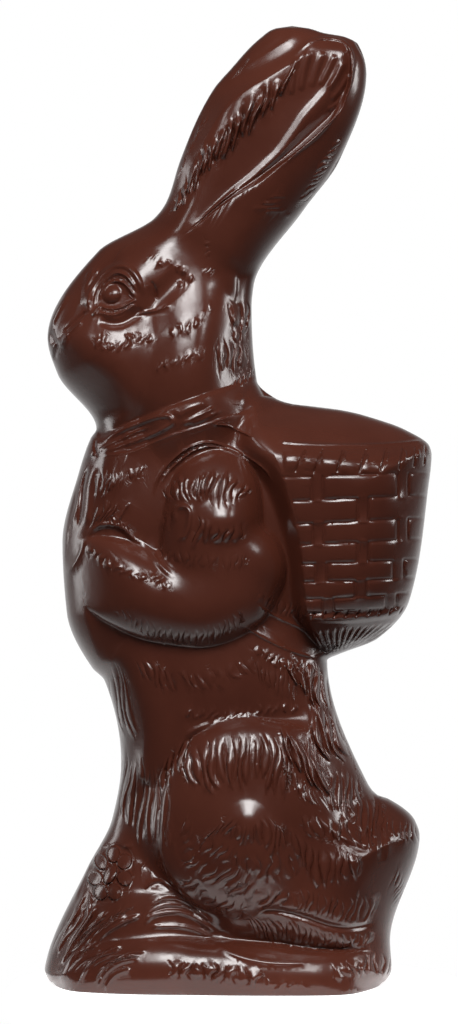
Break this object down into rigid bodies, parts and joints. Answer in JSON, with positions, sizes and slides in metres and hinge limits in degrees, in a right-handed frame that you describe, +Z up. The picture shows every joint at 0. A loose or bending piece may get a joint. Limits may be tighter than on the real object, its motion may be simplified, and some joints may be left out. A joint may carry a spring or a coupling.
{
  "type": "moulded chocolate rabbit",
  "caption": "Upright moulded chocolate rabbit in neckerchief and waistcoat, with a pannier basket on its back, on a grassy mound.",
  "frame": {"origin": "on the table, under the middle of the figure's bounding box", "axes": "+Z up; the rabbit looks along -X with its basket on the +X side; Y = 0 is the mould's parting plane, and -Y is the half that shows"},
  "size_m": [0.0966, 0.07, 0.239],
  "materials": {
    "chocolate": "dark chocolate with a satin gloss"
  },
  "bodies": {
    "root": {"figure": "chocolate"}
  },
  "joints": []
}
